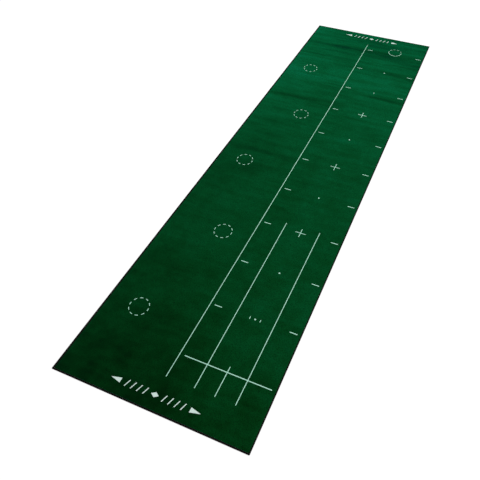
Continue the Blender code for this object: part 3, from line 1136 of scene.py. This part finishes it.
@dataclass(frozen=True)
class Overlock:
    """One side's overlocked edge: a core band, wrapped stitches and a chain along the inner lip."""

    side: Side
    half_run: float
    half_span: float
    lap: float
    top: float = 5.2 * MM
    corner: float = 3.0 * MM
    thread: float = 0.52 * MM
    pitch: float = 2.0 * MM
    slant: float = 0.9 * MM
    thread_sides: int = 5
    core_swell: float = 1.15 * thread
    height_power: float = 0.55
    depth_power: float = 0.7
    flatness: float = 1.25
    chain_inset: float = 0.55 * MM
    chain_swing: float = 0.45 * MM
    chain_drop: float = 0.62 * MM
    chain_bob: float = 0.18 * MM
    chain_radius: float = 0.38 * MM
    chain_rings: int = 6

    def outline(self, run: np.ndarray) -> tuple[np.ndarray, np.ndarray]:
        """Points and inward directions along the edge.

        The run is straight, with an eighth turn of a small corner arc at each end. It is worked out for a
        left-hand edge at x = -half_span and turned into place later.

        Args:
            run: Distances along the edge from its middle.

        Returns:
            The outer points and the inward unit directions, each an array of x, y.
        """
        straight = self.half_run - self.corner
        body = np.clip(run, -straight, straight)
        angle = (run - body) / self.corner
        centre = np.stack([np.full_like(run, -self.half_span + self.corner), body], -1)
        outward = np.stack([-np.cos(angle), np.sin(angle)], -1)
        return centre + self.corner * outward, -outward

    def section(self, share: np.ndarray, swell: float) -> np.ndarray:
        """Points round the wrapped edge, from the inner lip on top, over the outside, to the lip below.

        The path is a half super-ellipse: depth in from the edge and height are powers of cosine and sine,
        which gives flat top and sole with a round outside.

        Args:
            share: 0 at the lip on top and 1 at the lip below.
            swell: Distance of the path inside the outer surface.

        Returns:
            Depth inwards and height at each share.
        """
        turn = (0.5 - share) * math.pi
        middle = self.top / 2
        sine, cosine = np.sin(turn), np.cos(turn)
        height = middle + (middle - swell) * np.sign(sine) * np.abs(sine) ** self.height_power
        depth = swell + (self.lap - swell) * (1 - np.abs(cosine) ** self.depth_power)
        return np.stack([depth, height], -1)

    def placed(self, run: np.ndarray, depth: np.ndarray, height: np.ndarray) -> np.ndarray:
        """World points from distances along the edge, depths in from it and heights.

        Args:
            run: Distance along the edge from its middle.
            depth: Depth inwards.
            height: Height above the mat's underside.

        Returns:
            Points, lifted by the floor lie and turned to this side of the mat.
        """
        edge, inward = self.outline(run)
        flat = edge + depth[..., None] * inward
        quarter = self.side.value * math.pi / 2
        c, s = round(math.cos(quarter)), round(math.sin(quarter))
        x = c * flat[..., 0] - s * flat[..., 1]
        y = s * flat[..., 0] + c * flat[..., 1]
        return np.stack([x, y, height + LIE.height(x, y)], -1)

    def reach(self) -> float:
        """Distance along the edge from its middle to the mitre line of a corner."""
        return self.half_run - self.corner + self.corner * math.pi / 4

    def core(self) -> np.ndarray:
        """The band under the stitches: the section carried along the edge, with a flat inner face."""
        straight, mitre = self.half_run - self.corner, self.half_run - self.lap
        fine = [np.linspace(*span, 5)[1:] for span in ((mitre, straight), (straight, self.reach()))]
        half = np.concatenate([np.linspace(0.0, mitre, int(mitre / (12 * MM)) + 2), *fine])
        run = np.concatenate([-half[:0:-1], half])
        path = self.section(np.linspace(0, 1, 11), self.core_swell)
        run, depth = np.meshgrid(run, path[:, 0], indexing="ij")
        height = np.broadcast_to(path[:, 1], run.shape)
        shorter = np.clip(self.half_run - np.abs(run), 0.0, None)
        return self.placed(run, np.minimum(depth, np.maximum(shorter, 0.98 * self.corner)), height)[None]

    def stitches(self) -> np.ndarray:
        """The wrapped stitches: tubes that follow the section, each leaning along the edge.

        Returns:
            Points of the tubes: tube, ring, point round the ring, and x, y, z.
        """
        count = int(2 * self.reach() / self.pitch)
        middle = (np.arange(count) - (count - 1) / 2) * self.pitch
        rng = np.random.default_rng(11 + self.side.value)
        middle = middle + rng.normal(0, 0.09 * MM, count)
        share = np.linspace(0.0, 1.0, 10)
        path = self.section(share, self.thread)
        tangent = np.gradient(path, axis=0)
        tangent /= np.linalg.norm(tangent, axis=1, keepdims=True)
        out = np.stack([tangent[:, 1], -tangent[:, 0]], -1)
        turn = turns(self.thread_sides)
        radius = self.thread * (0.55 + 0.45 * np.sin(math.pi * np.clip(share, 0.02, 0.98)) ** 0.35)
        plump = 1 + rng.normal(0, 0.05, count)
        plump = plump[:, None, None]
        across = radius[:, None] * np.cos(turn)
        lift = radius[:, None] * np.sin(turn)
        lean = self.slant * (0.5 - share)
        run = middle[:, None, None] + lean[None, :, None] + self.flatness * plump * across[None]
        depth, height = (path[None, :, None, k] + out[None, :, None, k] * lift[None] * plump
                         for k in range(2))
        limit = np.clip(self.half_run - np.abs(run), self.corner, None)
        return self.placed(run, np.minimum(depth, limit), np.maximum(height, 0.0))

    def chain(self) -> np.ndarray:
        """The looper chain on the inner lip: a thread that swings once for every stitch."""
        reach = self.half_run - self.lap
        run = np.linspace(-reach, reach, int(2 * reach / self.pitch) * self.chain_rings)
        phase = 2 * math.pi * run / self.pitch
        centre_depth = self.lap - self.chain_inset + self.chain_swing * np.sin(phase)
        centre_height = self.top - self.chain_drop + self.chain_bob * np.cos(2 * phase)
        turn = turns(self.thread_sides)
        depth = centre_depth[:, None] + self.chain_radius * np.cos(turn)
        height = centre_height[:, None] + self.chain_radius * np.sin(turn)
        return self.placed(np.broadcast_to(run[:, None], depth.shape), depth, height)[None]

    def build(self, finish: bpy.types.Material) -> list[bpy.types.Object]:
        """Build and dress this side.

        Args:
            finish: The thread's material.

        Returns:
            The wrapped edge and its chain.
        """
        label = self.side.name.lower()
        wrap, chain = Shells(), Shells()
        wrap.tubes(self.core())
        wrap.tubes(self.stitches())
        chain.tubes(self.chain())
        pieces = [wrap.piece("overlock_" + label), chain.piece("overlock_chain_" + label)]
        return [dress(piece, finish, "edge_binding_" + label) for piece in pieces]


# ---- The studio ----
@dataclass(frozen=True)
class Softbox:
    """A large, even area light."""

    name: str
    place: Colour
    aim: Colour
    size: tuple[float, float]
    watts: float

    def build(self) -> None:
        """Hang the light and turn it to its aim."""
        data = bpy.data.lights.new(self.name, "AREA")
        data.shape = "RECTANGLE"
        data.size, data.size_y = self.size
        data.energy = self.watts
        lamp = bpy.data.objects.new(self.name, data)
        lamp.location = self.place
        towards = np.array(self.aim) - np.array(self.place)
        flat = math.hypot(towards[0], towards[1])
        lamp.rotation_euler = (math.atan2(flat, -towards[2]), 0.0, math.atan2(-towards[0], towards[1]))
        bpy.context.scene.collection.objects.link(lamp)


@dataclass(frozen=True)
class Studio:
    """Pale floor, soft light and the camera."""

    floor_size: float = 60.0
    floor_drop: float = 0.4 * MM
    floor_depth: float = 0.05
    floor_grey: float = 0.20
    floor_glow: float = 0.89
    sky: Colour = (1.0, 1.0, 1.0)
    sky_strength: float = 0.59
    camera_place: Colour = (0.57153, -1.55759, 1.37264)
    camera_turn: Colour = (0.713202, -0.002312, 0.39301)
    camera_lens: float = 36.687
    camera_shift: tuple[float, float] = (-0.08917, 0.00243)
    boxes: tuple[Softbox, ...] = (
        Softbox("overhead_softbox", (0.0, 0.7, 1.9), (0.0, 0.7, 0.0), (2.2, 1.2), 20.0),
        Softbox("right_softbox", (1.6, -1.2, 1.2), (0.2, -0.7, 0.0), (1.2, 1.0), 10.5),
    )

    def floor(self) -> None:
        """A wide pale floor that glows a little, so that it reads as a white sweep."""
        shells = Shells()
        half = self.floor_size / 2
        grid = np.linspace(-half, half, 3)
        level = np.full((3, 3), -self.floor_drop)
        shells.slab(grid, grid, level, level - self.floor_depth)
        floor = shells.piece("studio_floor")
        shader = Shader("pale_floor")
        grey = self.floor_grey
        shader.fixed(base_color=(grey, grey, grey, 1.0), roughness=0.9, specular_IOR_level=0.1,
                     emission_color=(1.0, 1.0, 1.0, 1.0), emission_strength=self.floor_glow)
        floor.data.materials.append(shader.material)

    def light(self) -> None:
        """Even white surroundings and the softboxes."""
        world = bpy.data.worlds.new("studio_surround")
        bpy.context.scene.world = world
        world.use_nodes = True
        background = world.node_tree.nodes["Background"]
        background.inputs["Color"].default_value = (*self.sky, 1.0)
        background.inputs["Strength"].default_value = self.sky_strength
        for box in self.boxes:
            box.build()

    def camera(self) -> None:
        """The camera over the player's right shoulder, looking down along the mat."""
        data = bpy.data.cameras.new("camera")
        data.sensor_width = 36.0
        data.lens = self.camera_lens
        data.shift_x, data.shift_y = self.camera_shift
        camera = bpy.data.objects.new("camera", data)
        camera.location = self.camera_place
        camera.rotation_euler = self.camera_turn
        bpy.context.scene.collection.objects.link(camera)
        bpy.context.scene.camera = camera

    def build(self) -> None:
        """Set up the floor, the lights, the camera and plain colour handling."""
        self.floor()
        self.light()
        self.camera()
        bpy.context.scene.view_settings.view_transform = "Standard"


def main() -> None:
    """Build the mat from the floor up, then the studio round it."""
    logging.basicConfig(level=logging.INFO, format="%(name)s: %(message)s")
    (left, near, _), (right, far, _) = CAD_BOX
    pile_low, pile_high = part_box("green_pile")
    long_lap, end_lap, set_back = 8.0 * MM, 5.5 * MM, 2.6 * MM
    pile_plan = GreenPile(pile_high.x - set_back, pile_high.y, pile_low.z, pile_high.z)

    pieces = RubberSheet().build(rim=4.6 * MM, thin=0.9 * MM)
    latex = SheetFinish("latex_coat", (0.55, 0.52, 0.42), (0.42, 0.40, 0.33), 300.0)
    weave = SheetFinish("tufting_cloth", (0.62, 0.62, 0.56), (0.45, 0.45, 0.40), 800.0)
    pieces.append(InnerSheet("latex_bond_coat", "bond_coat", "latex", latex).build())
    cloth = InnerSheet("tufting_cloth", "backing_cloth_white_tufts", "white_yarn", weave).build()
    pile = pile_plan.build()
    marks = WhiteMarks(MarkLayout(length=far - near), TuftRows(pile_plan)).build()
    thread = ThreadFinish().material()
    edges: list[bpy.types.Object] = []
    for side in Side:
        sizes = (far, right, long_lap) if side in (Side.LEFT, Side.RIGHT) else (right, far, end_lap)
        edges += Overlock(side, *sizes).build(thread)

    Studio().build()
    for piece in [*pieces, cloth, pile, *marks, *edges]:
        LOG.info("%s: %d triangles", piece.name, triangles(piece))


if __name__ == "__main__":
    main()
